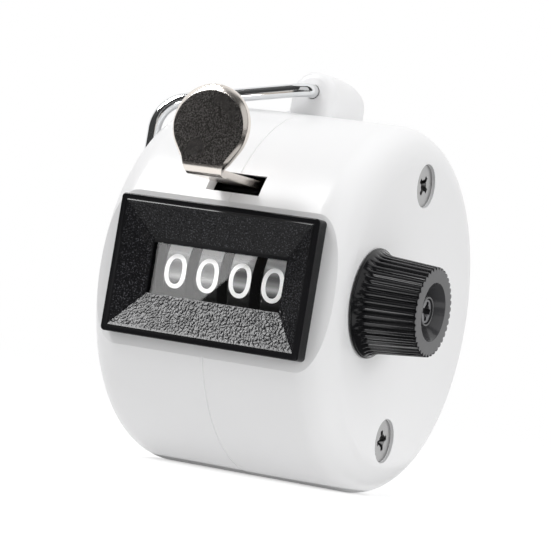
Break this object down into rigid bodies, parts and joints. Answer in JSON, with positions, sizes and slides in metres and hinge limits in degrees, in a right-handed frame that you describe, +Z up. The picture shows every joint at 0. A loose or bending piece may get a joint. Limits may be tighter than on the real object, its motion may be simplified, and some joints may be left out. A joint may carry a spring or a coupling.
{
  "type": "tally counter",
  "caption": "Hand tally counter with a drum-shaped case, framed number wheels, a sprung thumb lever, a fluted reset knob and a swinging wire finger ring.",
  "frame": {"origin": "centre of the drum-shaped case, where the hand closes round it", "axes": "+X along the drum axis to the reset knob, -Y out of the display, +Z up to the lug of the finger ring"},
  "size_m": [0.0424, 0.0509, 0.0503],
  "materials": {
    "case_white": "glossy white moulded plastic",
    "bezel_black": "black, smooth rim and grained slopes",
    "lens_clear": "clear polished",
    "screw_steel": "bright plated steel",
    "chassis_steel": "plated sheet steel",
    "shaft_steel": "turned steel",
    "knob_black": "gloss black",
    "wheel_black": "gloss black with white digits",
    "brass": "plain",
    "spring_steel": "spring steel",
    "lever_nickel": "nickel plated, satin pad",
    "ring_chrome": "polished chrome"
  },
  "bodies": {
    "case": {"left_case": "case_white", "right_case": "case_white", "bezel": "bezel_black", "window_lens": "lens_clear", "case_screws": "screw_steel", "chassis": "chassis_steel", "lever_pin": "shaft_steel", "lever_spring": "spring_steel", "detent_comb": "spring_steel", "detent_rivets": "brass"},
    "reset_shaft": {"main_shaft": "shaft_steel", "reset_knob": "knob_black", "shaft_clip": "spring_steel", "wheel_spacers": "brass"},
    "thousands_wheel": {"number_wheel_thousands": "wheel_black", "reset_dog_thousands": "brass"},
    "hundreds_wheel": {"number_wheel_hundreds": "wheel_black", "reset_dog_hundreds": "brass"},
    "tens_wheel": {"number_wheel_tens": "wheel_black", "reset_dog_tens": "brass"},
    "units_wheel": {"number_wheel_units": "wheel_black", "reset_dog_units": "brass"},
    "lever": {"thumb_lever": "lever_nickel", "drive_pawl_comb": "spring_steel", "pawl_rivets": "brass"},
    "ring": {"finger_ring": "ring_chrome"}
  },
  "joints": [
    {"name": "lever_press", "type": "hinge", "parent": "case", "child": "lever", "pos_m": [0, -0.01498, 0.01185], "axis": [1, 0, 0], "range_deg": [0, 10], "stiffness_Nm_per_rad": 0.05, "springref_deg": -17.19, "deforming": ["lever_spring"]},
    {"name": "knob_turn", "type": "hinge", "parent": "case", "child": "reset_shaft", "pos_m": [0, -0.01115, 0.0003], "axis": [1, 0, 0], "continuous": true},
    {"name": "thousands_wheel_turn", "type": "hinge", "parent": "reset_shaft", "child": "thousands_wheel", "pos_m": [0, -0.01115, 0.0003], "axis": [1, 0, 0], "continuous": true},
    {"name": "hundreds_wheel_turn", "type": "hinge", "parent": "reset_shaft", "child": "hundreds_wheel", "pos_m": [0, -0.01115, 0.0003], "axis": [1, 0, 0], "continuous": true},
    {"name": "tens_wheel_turn", "type": "hinge", "parent": "reset_shaft", "child": "tens_wheel", "pos_m": [0, -0.01115, 0.0003], "axis": [1, 0, 0], "continuous": true},
    {"name": "units_wheel_turn", "type": "hinge", "parent": "reset_shaft", "child": "units_wheel", "pos_m": [0, -0.01115, 0.0003], "axis": [1, 0, 0], "continuous": true},
    {"name": "ring_swing", "type": "hinge", "parent": "case", "child": "ring", "pos_m": [0, 0.00185, 0.0252], "axis": [0, 1, 0], "range_deg": [0, 190]}
  ],
  "couplings": [
    {"joint": "units_wheel_turn", "follows": "lever_press", "ratio": 3.6}
  ]
}
